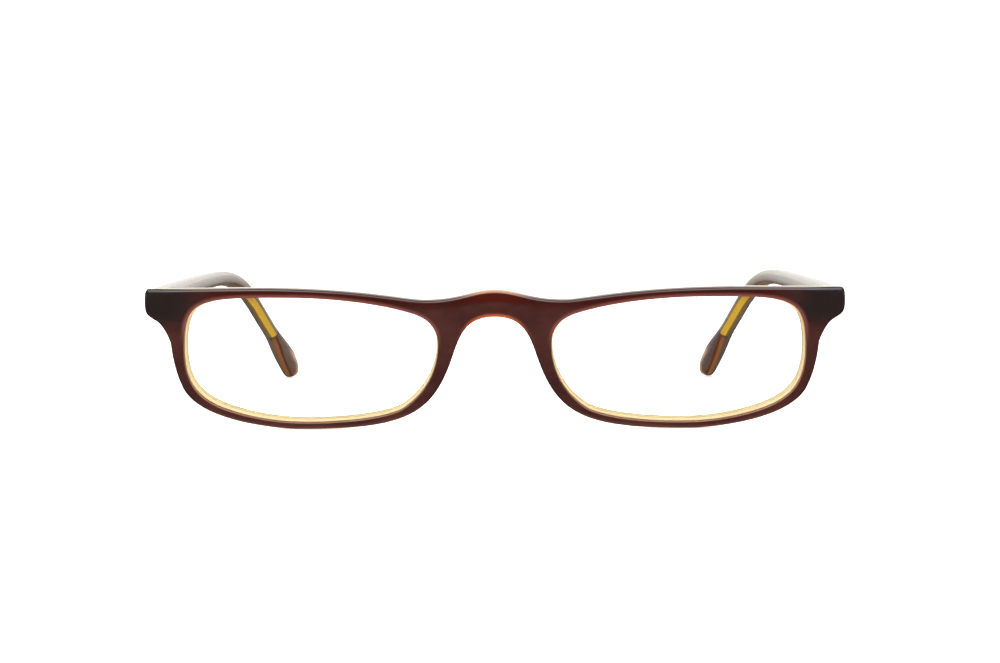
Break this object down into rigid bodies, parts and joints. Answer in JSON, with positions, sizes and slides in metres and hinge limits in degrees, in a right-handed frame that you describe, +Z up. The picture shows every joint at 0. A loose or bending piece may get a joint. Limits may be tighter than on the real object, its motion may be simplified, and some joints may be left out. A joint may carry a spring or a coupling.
{
  "type": "reading glasses",
  "caption": "Full-rim half-eye reading glasses with a laminated acetate front, clear lenses and folding skull temples on metal core wires.",
  "frame": {"origin": "on the table under the middle of the open glasses, halfway between the front and the temple tips", "axes": "+X to the wearer's left, +Y back along the open temples, +Z up"},
  "size_m": [0.137, 0.1261, 0.0279],
  "materials": {
    "dark_acetate": "gloss",
    "honey_acetate": "gloss",
    "grey_acetate": "gloss",
    "clear_lens": "polished",
    "hinge_metal": "satin",
    "screw_steel": "satin",
    "gilt_wire": "polished"
  },
  "bodies": {
    "front": {"front_outer_layer": "dark_acetate", "front_inner_layer": "honey_acetate", "lens_right": "clear_lens", "lens_left": "clear_lens", "front_hinge_leaf_right": "hinge_metal", "front_hinge_leaf_left": "hinge_metal", "hinge_screw_right": "screw_steel", "hinge_screw_left": "screw_steel"},
    "temple_right": {"temple_outer_layer_right": "dark_acetate", "temple_inner_layer_right": "grey_acetate", "core_wire_right": "gilt_wire", "temple_hinge_leaf_right": "hinge_metal"},
    "temple_left": {"temple_outer_layer_left": "dark_acetate", "temple_inner_layer_left": "grey_acetate", "core_wire_left": "gilt_wire", "temple_hinge_leaf_left": "hinge_metal"}
  },
  "joints": [
    {"name": "temple_fold_left", "type": "hinge", "parent": "front", "child": "temple_left", "pos_m": [0.06274, -0.05437, 0.02511], "axis": [0, -0.1045, 0.9945], "range_deg": [0, 84]},
    {"name": "temple_fold_right", "type": "hinge", "parent": "front", "child": "temple_right", "pos_m": [-0.06274, -0.05437, 0.02511], "axis": [0, 0.1045, -0.9945], "range_deg": [0, 79]}
  ]
}
